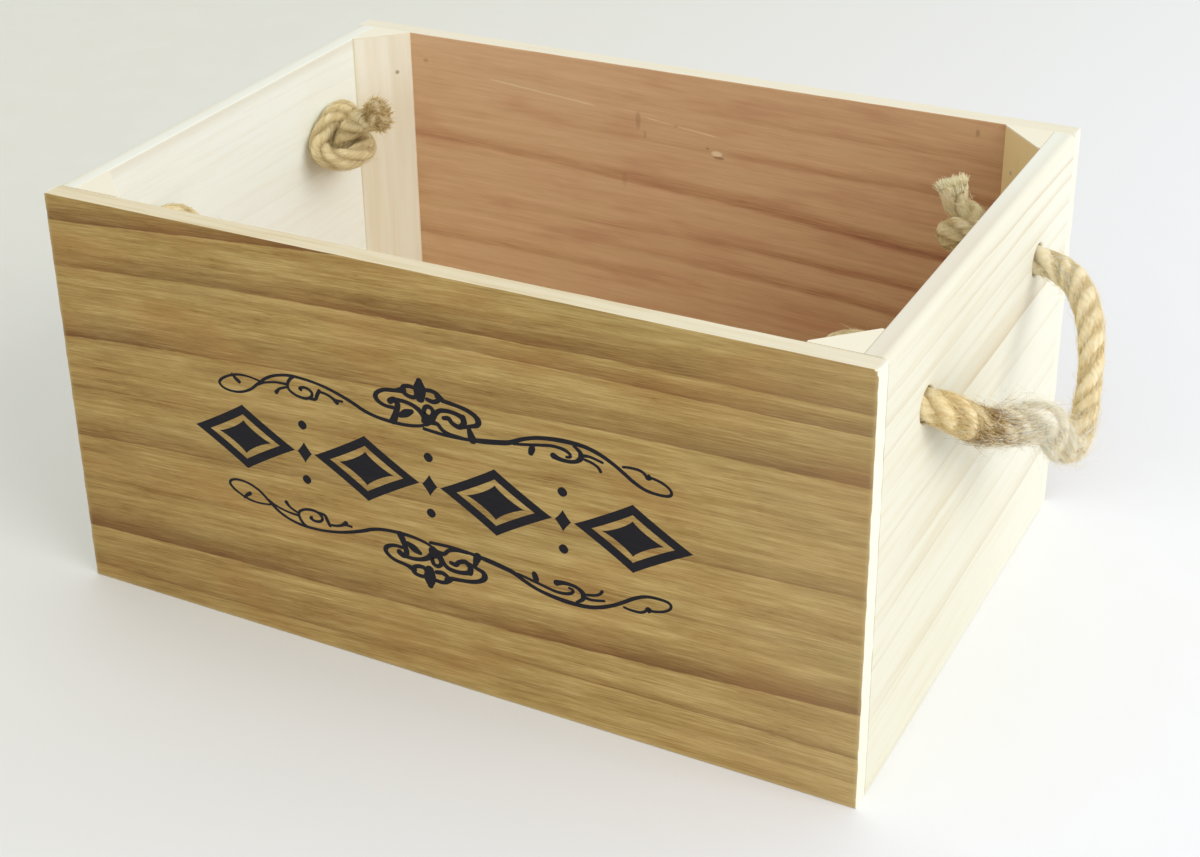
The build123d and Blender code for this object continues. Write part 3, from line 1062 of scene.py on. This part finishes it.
def add_brush(fibres, rope, draw, splay, tones):
    """Cut fibres at the rope's free end, spread like a short brush."""
    count = brush_fibres
    opened = rope.spread(1.0)
    angle = draw.uniform(0, 2 * math.pi, count)
    reach = np.sqrt(draw.random(count)) * 0.5 * rope.diameter * opened
    back = draw.uniform(*brush_depths_mm, count) * mm
    long = back + draw.uniform(*brush_heights_mm, count) * mm
    start = beside(rope, rope.length - back, angle, reach * 0.85)
    outward = unit(start - beside(rope, rope.length - back, angle, reach * 0))
    lean = (reach / rope.diameter * splay * draw.uniform(0.2, 1.0, count))[:, None]
    sway = draw.normal(0, 0.16, (count, 3))
    paths = []
    for step in np.linspace(0, 1, fibre_points):
        bent = rope.tangents[-1] + outward * lean * step + sway * step
        paths.append(start + long[:, None] * step * bent)
    thick = draw.uniform(*brush_radii_mm, count) * mm
    fibres.add(np.stack(paths, axis=1), thick, draw.uniform(*tones, count))


# Looks of each knot's rope: how much its cut end opens, how much paler its end lies as painted light and how
# much darker its middle lies as painted shade, how far the brush of its end splays, and between which tones
# its fibres lie, raised as painted light for the right rear knot
knot_looks = {
    ("left", "front"): (0.45, 0.0, 0.0, 1.2, (0.1, 0.8)),
    ("left", "rear"): (0.60, 0.06, 0.0, 0.8, (-0.5, 0.7)),
    ("right", "front"): (0.45, 0.0, 0.0, 1.2, (0.2, 0.9)),
    ("right", "rear"): (0.36, 0.28, 0.20, 0.35, (0.5, 1.3)),
}


def bell(share, centre, reach):
    """A smooth bump, 1 at its centre."""
    return math.exp(-(((share - centre) / reach) ** 2))


def handle_wear_and_painted_light(share):
    # Real wear bleaches and loosens the fold and fray; the small rise near the rear hole is painted light
    # that pales that stretch
    worn = 0.82 * bell(share, 0.68, 0.15) + 0.20 * bell(share, 0.08, 0.10) - 0.16 * bell(share, 0.95, 0.09)
    return min(1.0, 0.18 + worn)


def handle_spread(share):
    rise = min(1.0, max(0.0, (share - 0.46) / 0.14))
    return 0.90 - 0.19 * bell(share, 0.37, 0.13) + 0.16 * rise + 0.10 * bell(share, 0.72, 0.10)


def handle_painted_light_and_shade(share):
    """Painted shade where the rope parts beside its front hole, and painted light, pale and full, on its rear
    limb and its fray.
    """
    return 1.35 * bell(share, 0.822, 0.025) - 0.26 * bell(share, 0.12, 0.18) - 0.16 * bell(share, 0.62, 0.10)


def knot_wear(share):
    return 0.15 + 0.25 * bell(share, 1.0, 0.06)


def knot_spread(flare):
    """How far a knot's rope is opened, with a flare at its cut end."""
    return lambda share: 1.0 + flare * bell(share, 1.0, 0.045)


def knot_painted_light_and_shade(paler, darker):
    """Painted light and shade on a knot's rope: paler towards its end and darker in its middle."""
    return lambda share: darker * bell(share, 0.42, 0.14) - paler * bell(share, 0.95, 0.22)


def make_handle(side_name, seed):
    """The loop outside one end panel."""
    side = sides[side_name]
    draw = np.random.default_rng(seed)
    name = f"{side_name}_rope_loop"
    rope = Rope(
        name, handle_points(side), rope_diameter, handle_lay, handle_wear_and_painted_light, handle_spread, handle_painted_light_and_shade,
    )
    loop = rope_object(rope, finishes["rope"])
    fibres = FibreMesh()
    for layer in handle_fuzz:
        add_fuzz(fibres, rope, draw, *layer)
    fuzz = fibres.made(f"{name}_fibres", finishes["fibre"])
    for piece in (loop, fuzz):
        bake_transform(piece)
    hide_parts(f"{side_name}_rope_handle")


def make_knot(knot_place, seed):
    """One overhand knot against the inner face of an end panel."""
    name = "_".join((*knot_place, "knot"))
    draw = np.random.default_rng(seed)
    flare, paler, darker, splay, tones = knot_looks[knot_place]
    rope = Rope(
        f"{name}_rope", knot_points(knot_place), knot_rope_diameter, knot_lay,
        knot_wear, knot_spread(flare), knot_painted_light_and_shade(paler, darker),
    )
    knot = rope_object(rope, finishes["knot_rope"])
    fibres = FibreMesh()
    for layer in knot_fuzz:
        add_fuzz(fibres, rope, draw, *layer)
    add_brush(fibres, rope, draw, splay, tones)
    fuzz = fibres.made(f"{name}_fibres", finishes["knot_fibre"])
    for piece in (knot, fuzz):
        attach(piece, "crate")
    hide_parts(name)


# Print on the front

# The scrolls: places in millimetres along the board and up it, each with the stroke's width
scroll_left = [
    [
        (-76.9, 118.0, 0.3), (-81.3, 118.6, 0.3), (-85.0, 118.6, 0.4), (-88.4, 118.0, 0.5),
        (-91.9, 116.6, 0.45), (-95.0, 114.7, 0.6), (-96.3, 112.7, 0.65), (-94.7, 110.9, 0.5),
        (-90.6, 110.2, 0.45), (-85.9, 110.9, 0.5), (-81.3, 113.1, 0.6), (-77.5, 116.4, 0.65),
        (-73.1, 120.0, 0.7), (-68.1, 122.3, 0.6), (-61.9, 123.6, 0.65), (-55.6, 123.6, 0.6),
        (-50.0, 123.1, 0.6), (-43.8, 121.9, 0.7), (-37.5, 120.0, 0.85), (-32.5, 118.1, 0.95),
        (-28.1, 116.2, 0.9), (-22.5, 114.9, 0.8), (-15.6, 114.4, 0.9), (-9.4, 114.6, 0.8),
        (-3.8, 115.6, 0.7), (-0.6, 117.0, 0.6),
    ],
    [(-89.7, 118.1, 0.4), (-88.4, 116.6, 0.9), (-86.6, 115.3, 1.1)],
    [(-77.5, 115.9, 0.3), (-75.0, 117.4, 0.4), (-71.9, 118.4, 0.4), (-68.1, 119.2, 0.4), (-63.8, 119.4, 0.6)],
    [
        (-60.0, 123.6, 0.7), (-62.0, 121.9, 0.75), (-63.1, 119.7, 0.7), (-63.0, 117.8, 0.65),
        (-61.3, 116.3, 0.6), (-58.4, 115.3, 0.6), (-55.0, 115.2, 0.65), (-52.5, 116.4, 0.7),
        (-51.9, 118.1, 0.7), (-53.2, 119.5, 0.65), (-55.6, 119.9, 0.65), (-57.5, 119.1, 0.8),
        (-56.9, 118.4, 0.5),
    ],
    [(-63.0, 118.4, 0.5), (-65.6, 117.4, 0.5), (-67.5, 116.4, 0.6), (-68.9, 114.7, 1.1)],
    [(-53.4, 115.5, 0.5), (-50.6, 115.9, 0.8), (-49.5, 118.1, 1.0), (-48.4, 120.1, 0.9)],
    [(-48.6, 119.7, 0.5), (-45.6, 119.4, 0.6), (-42.8, 118.4, 0.7), (-40.6, 116.8, 1.3)],
    [(-43.8, 119.0, 0.4), (-40.9, 117.8, 0.5), (-38.1, 117.8, 0.5)],
]
scroll_right = [
    [
        (-1.6, 114.9, 0.8), (7.5, 114.4, 0.8), (15.6, 114.8, 0.8), (20.0, 115.3, 1.1),
        (24.4, 115.9, 1.4), (30.0, 116.9, 1.4), (35.0, 118.1, 1.3), (40.0, 120.6, 1.0),
        (45.0, 122.5, 0.9), (50.0, 123.6, 1.0), (56.3, 124.3, 1.2), (62.5, 124.4, 1.1),
        (67.5, 123.9, 1.0), (72.5, 122.4, 1.0), (77.5, 120.0, 0.9), (81.9, 117.2, 0.9),
        (85.6, 114.7, 0.9), (90.0, 112.6, 0.75), (94.4, 111.9, 0.6), (98.8, 112.1, 0.6),
        (100.6, 113.1, 0.6), (100.3, 115.0, 0.5), (97.5, 116.9, 0.5), (94.4, 117.8, 0.5),
        (91.9, 118.1, 0.5),
    ],
    [
        (36.9, 118.0, 0.5), (42.5, 119.1, 0.6), (48.1, 120.3, 0.65), (53.1, 121.2, 0.7),
        (57.5, 120.9, 0.8), (60.0, 119.7, 0.75), (60.3, 118.4, 0.6), (58.8, 118.0, 0.5),
    ],
    [(45.2, 119.6, 0.5), (44.6, 117.9, 1.8), (44.0, 116.0, 1.5)],
    [
        (53.4, 117.2, 1.8), (56.3, 116.4, 1.1), (60.0, 116.4, 0.9), (62.8, 117.2, 1.0),
        (64.7, 119.1, 1.5), (64.4, 121.3, 1.1), (61.9, 123.4, 0.6),
    ],
    [(64.4, 120.0, 1.0), (68.1, 120.5, 0.6), (73.4, 119.4, 0.5)],
    [(66.3, 118.8, 0.6), (69.4, 118.1, 0.55), (71.6, 116.9, 0.6), (72.6, 115.5, 0.75)],
    [
        (81.6, 119.7, 0.4), (84.4, 120.1, 0.5), (88.1, 120.0, 0.55), (90.3, 118.9, 0.6),
        (91.3, 117.5, 0.85), (92.5, 117.8, 0.6), (91.8, 118.8, 0.5),
    ],
]
scroll_middle = [
    [(-2.7, 134.9, 1.6), (-2.7, 132.5, 3.6), (-2.7, 130.3, 3.8), (-2.7, 127.8, 2.8)],
    [
        (-4.6, 131.4, 0.8), (-7.4, 131.7, 0.8), (-9.9, 130.9, 0.9), (-10.2, 128.9, 0.9),
        (-8.0, 127.5, 0.9), (-5.4, 127.4, 0.9), (-4.3, 128.6, 0.8),
    ],
    [(-10.0, 129.5, 1.8), (-12.4, 128.8, 1.0)],
    [
        (-11.2, 128.9, 1.0), (-14.4, 128.3, 0.75), (-18.8, 127.5, 0.7), (-21.9, 125.6, 0.9),
        (-22.6, 123.6, 1.2), (-21.1, 121.8, 0.9), (-18.1, 120.8, 0.65), (-15.0, 120.8, 0.7),
    ],
    [
        (-16.2, 123.3, 1.6), (-14.4, 124.4, 1.4), (-12.9, 122.8, 1.5), (-13.5, 119.6, 1.5),
        (-14.4, 117.0, 1.8), (-15.3, 115.0, 2.0),
    ],
    [
        (-13.6, 124.5, 0.9), (-10.0, 124.6, 0.8), (-6.3, 123.9, 0.9), (-3.1, 122.2, 1.3),
        (-1.3, 120.0, 1.5), (-1.6, 118.4, 1.2),
    ],
    [(-12.0, 118.1, 1.0), (-9.4, 119.7, 2.2), (-6.7, 121.1, 1.0)],
    [
        (-1.3, 122.5, 1.0), (-0.6, 124.4, 0.95), (1.2, 124.9, 0.9), (2.7, 123.6, 0.95),
        (2.4, 121.6, 1.0), (0.9, 120.4, 1.1), (-0.9, 121.2, 1.0),
    ],
    [
        (-0.4, 131.7, 0.8), (2.7, 131.9, 0.8), (5.2, 130.9, 0.9), (5.5, 128.9, 1.0),
        (3.2, 127.5, 1.0), (0.4, 127.9, 0.9),
    ],
    [(5.2, 130.3, 1.8), (7.6, 128.9, 0.9)],
    [
        (6.9, 128.9, 0.9), (12.5, 128.3, 0.75), (16.9, 127.5, 0.9), (20.6, 125.9, 1.1),
        (22.2, 123.8, 1.6), (21.4, 121.9, 1.1), (18.8, 120.9, 0.7), (15.6, 119.7, 0.6),
    ],
    [
        (15.6, 123.8, 1.6), (15.9, 121.3, 1.5), (13.8, 119.4, 1.2), (10.9, 120.3, 1.0),
        (9.4, 121.9, 1.1), (7.2, 121.6, 0.8),
    ],
    [
        (2.0, 119.0, 1.6), (3.4, 122.0, 1.2), (5.6, 124.3, 1.0), (9.4, 125.0, 0.9),
        (13.1, 124.6, 1.0), (15.3, 123.7, 1.3),
    ],
    [
        (-1.6, 118.2, 1.2), (1.9, 118.4, 1.0), (4.4, 118.3, 0.9), (6.6, 116.2, 0.8),
        (10.0, 115.1, 0.8), (15.0, 114.8, 0.8),
    ],
    [(18.1, 119.4, 1.0), (18.7, 117.3, 1.8), (19.4, 115.4, 2.4)],
    [(-0.6, 116.9, 0.7), (0.6, 118.2, 1.4), (2.2, 119.4, 1.2)],
]
# The lower scroll is the upper one turned over about this height. A stroke's width is drawn a little
# bolder than it is written, most in the middle of the scroll
scroll_mirror_height = 89.75
pen_share = 1.2
pen_least = 0.5
middle_bolder = 0.3
# Pieces of a stroke between two of its places, and corners of its round ends
stroke_pieces = 6
cap_corners = 4
# The print stands this far before and behind the board's face, and each shape a hair before the last
ink_depth = 0.05 * mm
layer_rise = 0.0006 * mm
# The middle row, in millimetres: its height on the board, its ends, its large lozenges, each with a
# hollow and a core as shares of it, and the small lozenges and dots between them
row_bottom, row_top = 76.0, 105.0
row_start, row_end = -115.0, 114.0
lozenge_count = 4
lozenge_width_share = 0.42
lozenge_hollow_share = 0.70
lozenge_core_share = 0.52
small_lozenge = (3.4, 4.6)
dot_radius = 2.0
dot_inset = 2.2
# How far the sides of each figure curve: 1 is straight, less curves in and more curves out
lozenge_curve = 0.96
core_curve = 0.82
small_lozenge_curve = 0.9
dot_curve = 1.8
figure_corners = 32


def flowing(points):
    """A smooth line through places with widths."""
    given = np.array([points[0], *points, points[-1]], float)
    made = []
    for a, b, c, d in zip(given, given[1:], given[2:], given[3:]):
        bend, turn = 2 * a - 5 * b + 4 * c - d, 3 * b - a - 3 * c + d
        for t in np.arange(stroke_pieces) / stroke_pieces:
            made.append(0.5 * (2 * b + (c - a) * t + bend * t**2 + turn * t**3))
    made.append(given[-2])
    return np.array(made)


class PrintMesh:
    """Thin raised shapes on the face of the front board."""

    def __init__(self):
        self.points = []
        self.faces = []
        self.layers = 0

    def plate(self, loop):
        """One closed outline, a hair above the last, so that no two faces coincide."""
        self.layers += 1
        face = front_low.y - ink_depth - layer_rise * self.layers
        start, count = len(self.points), len(loop)
        for y in (face, front_low.y + ink_depth):
            self.points.extend((x * mm, y, z * mm) for x, z in loop)
        return start, count

    def walls(self, start, count):
        for i in range(count):
            j = (i + 1) % count
            self.faces.append((start + i, start + count + i, start + count + j, start + j))

    def stroke(self, points):
        """A line of changing width with round ends."""
        line = flowing(points)
        runs = unit(np.gradient(line[:, :2], axis=0))
        across = np.stack([-runs[:, 1], runs[:, 0]], axis=1) * line[:, 2:] / 2
        upper, lower = line[:, :2] + across, line[:, :2] - across
        caps = []
        for place, run, side in ((line[-1, :2], runs[-1], across[-1]), (line[0, :2], -runs[0], -across[0])):
            half = np.linalg.norm(side)
            turns = [math.pi * step / (cap_corners + 1) for step in range(1, cap_corners + 1)]
            caps.append([place + math.cos(turn) * side + math.sin(turn) * half * run for turn in turns])
        ring = [*upper, *caps[0], *lower[::-1], *caps[1]]
        start, count = self.plate(ring)
        middle, cap = len(upper), cap_corners
        for shift in (0, count):
            flip = shift > 0
            for i in range(middle - 1):
                quad = [i, i + 1, middle + cap + middle - 2 - i, middle + cap + middle - 1 - i]
                self.face([start + shift + k for k in quad], flip)
            ends = [
                [*range(middle - 1, middle + cap + 1)],
                [*range(2 * middle + cap - 1, 2 * middle + 2 * cap), 0],
            ]
            for end in ends:
                self.face([start + shift + k for k in end], flip)
        self.walls(start, count)

    def face(self, loop, flip):
        self.faces.append(tuple(loop if flip else loop[::-1]))

    def solid(self, loop):
        start, count = self.plate(loop)
        self.face([*range(start, start + count)], False)
        self.face([*range(start + count, start + 2 * count)], True)
        self.walls(start, count)

    def band(self, outer, inner):
        """A closed band between two outlines with as many points."""
        out, count = self.plate(outer)
        inn, count = self.plate(inner)
        for shift in (0, count):
            for i in range(count):
                j = (i + 1) % count
                quad = [start + shift + k for start, k in ((out, i), (out, j), (inn, j), (inn, i))]
                self.face(quad, shift > 0)
        self.walls(out, count)
        for i in range(count):
            j = (i + 1) % count
            self.faces.append((inn + i, inn + j, inn + count + j, inn + count + i))

    def made(self, name):
        mesh = bpy.data.meshes.new(name)
        mesh.from_pydata(self.points, [], self.faces)
        obj = linked(name, mesh)
        paint(obj, finishes["ink"])
        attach(obj, "crate")
        return obj


def figure(centre_x, centre_z, half_width, half_height, curve):
    """The outline of a four-pointed figure."""
    loop = []
    for step in range(figure_corners):
        turn = 2 * math.pi * step / figure_corners
        across = math.copysign(abs(math.cos(turn)) ** (2 / curve), math.cos(turn))
        up = math.copysign(abs(math.sin(turn)) ** (2 / curve), math.sin(turn))
        loop.append((centre_x + half_width * across, centre_z + half_height * up))
    return loop


def make_scrolls():
    """The scroll above the middle row, and the same one turned over below it."""
    for name, turned in (("upper_scroll_print", False), ("lower_scroll_print", True)):
        ink = PrintMesh()
        for strokes, bolder in ((scroll_left, 0.0), (scroll_middle, middle_bolder), (scroll_right, 0.0)):
            for stroke in strokes:
                ink.stroke([
                    (x, 2 * scroll_mirror_height - z if turned else z, pen_least + bolder + pen_share * width)
                    for x, z, width in stroke
                ])
        ink.made(name)


def make_middle_row():
    """Bold lozenges with small ones and dots between them."""
    ink = PrintMesh()
    pitch = (row_end - row_start) / lozenge_count
    middle = (row_bottom + row_top) / 2
    tall = (row_top - row_bottom) / 2
    wide = lozenge_width_share * pitch
    for number in range(lozenge_count):
        x = row_start + (number + 0.5) * pitch
        outer, inner, core = [
            figure(x, middle, share * wide, share * tall, curve)
            for share, curve in (
                (1.0, lozenge_curve), (lozenge_hollow_share, lozenge_curve), (lozenge_core_share, core_curve),
            )
        ]
        ink.band(outer, inner)
        ink.solid(core)
        if number:
            gap = x - pitch / 2
            ink.solid(figure(gap, middle, *small_lozenge, small_lozenge_curve))
            for lift in (dot_inset - tall, tall - dot_inset):
                ink.solid(figure(gap, middle + lift, dot_radius, dot_radius, dot_curve))
    ink.made("middle_row_print")


# Stage

# The floor's half width, the daylight's place, the point that it faces, its size and power, and the pale
# room's tint and strength, all in metres and watts
floor_reach = 4.0
window_place = (3.0, -0.7, 2.2)
window_aim = (0.0, 0.0, 0.08)
window_size = (2.8, 2.2)
window_power = 64.0
room_tint = (0.97, 0.985, 1.0, 1.0)
room_light = 0.81
backdrop_colour = (0.8, 0.8, 0.8, 1.0)
# The camera as solved from the crate's corners in the photograph: degrees, pixels and metres
view_azimuth, view_elevation, view_roll = 29.11, 26.50, -1.554
focal_pixels = 2082.7
picture_width, picture_height = 1200, 857
centre_across, centre_down = 539.96, 327.78
sensor_width_mm = 36.0
camera_place = (0.36932, -0.6948, 0.49625)


def stage_finish():
    """Pale floor with painted light: darker and warmer on the left, brighter and cooler towards the window on
    the right, and a little greyer far back on the right.
    """
    floor = Finish("floor")
    x, y, z = floor.place()
    grain = floor.noise(x / 30, y / 30, 0.0, detail=2.0)
    # Painted light: the floor brightens from left to right, towards the window
    colour = floor.mix(x.step(-600.0, 500.0), srgb(228, 227, 213), srgb(247, 248, 253))
    colour = floor.mix(y.step(100.0, 1300.0) * x.step(-100.0, 700.0) * 0.5, colour, srgb(236, 238, 234))
    colour = floor.mix(grain * 0.3, colour, srgb(238, 238, 234))
    normal = floor.bump(grain, 0.02 * mm, 0.1)
    return floor.surface(colour, 0.6, normal, 0.2)


def make_stage():
    mesh = bpy.data.meshes.new("floor")
    corners = [(x * floor_reach, y * floor_reach, 0) for x, y in ((-1, -1), (1, -1), (1, 1), (-1, 1))]
    mesh.from_pydata(corners, [], [(0, 1, 2, 3)])
    floor = linked("floor", mesh)
    paint(floor, stage_finish())


def make_window():
    """Soft daylight from the right."""
    lamp = bpy.data.lights.new("window", "AREA")
    lamp.shape = "RECTANGLE"
    lamp.size, lamp.size_y = window_size
    lamp.energy = window_power
    window = linked("window", lamp)
    window.location = window_place
    window.rotation_mode = "QUATERNION"
    window.rotation_quaternion = (Vector(window_aim) - Vector(window_place)).to_track_quat("-Z", "Y")


def make_room():
    """A pale room that lights the crate from all round. The camera and glossy surfaces see a backdrop."""
    world = bpy.data.worlds.new("room")
    bpy.context.scene.world = world
    room = Nodes(world, "ShaderNodeOutputWorld")
    lit = room.node("ShaderNodeBackground", {}, {"Color": room_tint, "Strength": room_light})
    shown = room.node("ShaderNodeBackground", {}, {"Color": backdrop_colour, "Strength": 1.0})
    camera_ray, glossy_ray = [
        room.node("ShaderNodeLightPath", {}, {}, out) for out in ("Is Camera Ray", "Is Glossy Ray")
    ]
    either = camera_ray.math("MAXIMUM", glossy_ray)
    room.show(room.node("ShaderNodeMixShader", {}, {0: either, 1: lit, 2: shown}))


def make_camera():
    """The photograph's view of the crate."""
    azimuth, elevation, roll = [math.radians(angle) for angle in (view_azimuth, view_elevation, view_roll)]
    back = Vector((
        math.sin(azimuth) * math.cos(elevation),
        -math.cos(azimuth) * math.cos(elevation),
        math.sin(elevation),
    ))
    level = Vector((math.cos(azimuth), math.sin(azimuth), 0))
    upright = back.cross(level)
    right = math.cos(roll) * level + math.sin(roll) * upright
    up = math.cos(roll) * upright - math.sin(roll) * level
    data = bpy.data.cameras.new("camera")
    data.sensor_width = sensor_width_mm
    data.lens = focal_pixels / picture_width * sensor_width_mm
    data.shift_x = (picture_width / 2 - centre_across) / picture_width
    data.shift_y = (centre_down - picture_height / 2) / picture_width
    camera = linked("camera", data)
    turn = Matrix((right, up, back)).transposed()
    camera.matrix_world = Matrix.Translation(camera_place) @ turn.to_4x4()
    bpy.context.scene.camera = camera


# The whole scene

make_camera()
make_stage()
make_window()
make_room()
bpy.context.scene.view_settings.view_transform = "Standard"

finishes = {
    "front": stained_outside("stained_front", front_lines, 8.5, 0.0),
    "rear": stained_outside("stained_rear", rear_lines, -7.0, 40.0),
    "inside": stained_inside(),
    "end": pale_board("pale_end", end_lines, 0.68),
    "base": base_wood(),
    "block": glue_block("pale_block", srgb(250, 246, 230), srgb(232, 220, 190), 0.28),
    # A darker, more golden copy of the block finish, for the back right block only
    "golden_block": glue_block("golden_block", srgb(240, 213, 158), srgb(208, 178, 119), 0.0),
    "edge": raw_edge(),
    "ink": print_ink(),
    "steel": brad_steel(),
    "rope": rope_finish(
        "jute_rope", srgb(255, 242, 198), srgb(240, 211, 150), srgb(255, 252, 240), srgb(168, 134, 80),
    ),
    "fibre": fibre_finish("jute_fibres", srgb(255, 240, 192), srgb(238, 206, 138), srgb(255, 253, 240)),
    # Painted shade: darker, more golden copies of the rope's finishes for the knots inside the crate
    "knot_rope": rope_finish(
        "knot_rope", srgb(255, 241, 192), srgb(228, 199, 134), srgb(254, 250, 232), srgb(140, 102, 54),
    ),
    "knot_fibre": fibre_finish("knot_fibres", srgb(255, 246, 206), srgb(220, 189, 122), srgb(255, 246, 206)),
}
for name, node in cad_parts.items():
    if name.endswith("end_panel"):
        paint(node, finishes["end"])
    elif name == "back_right_corner_block":
        paint(node, finishes["golden_block"])
    elif name.endswith("block"):
        paint(node, finishes["block"])
    elif name.endswith("brads"):
        paint(node, finishes["steel"])
    elif name == "base_board":
        paint(node, finishes["base"])
long_board("front_board", "front_panel", -1, finishes["front"], finishes["inside"], chipped)
long_board("back_board", "back_panel", 1, finishes["rear"], finishes["inside"], sawn)
for seed, side_name in enumerate(sides, start=11):
    make_handle(side_name, seed)
for seed, knot_place in enumerate(knot_turns, start=21):
    make_knot(knot_place, seed)
make_scrolls()
make_middle_row()
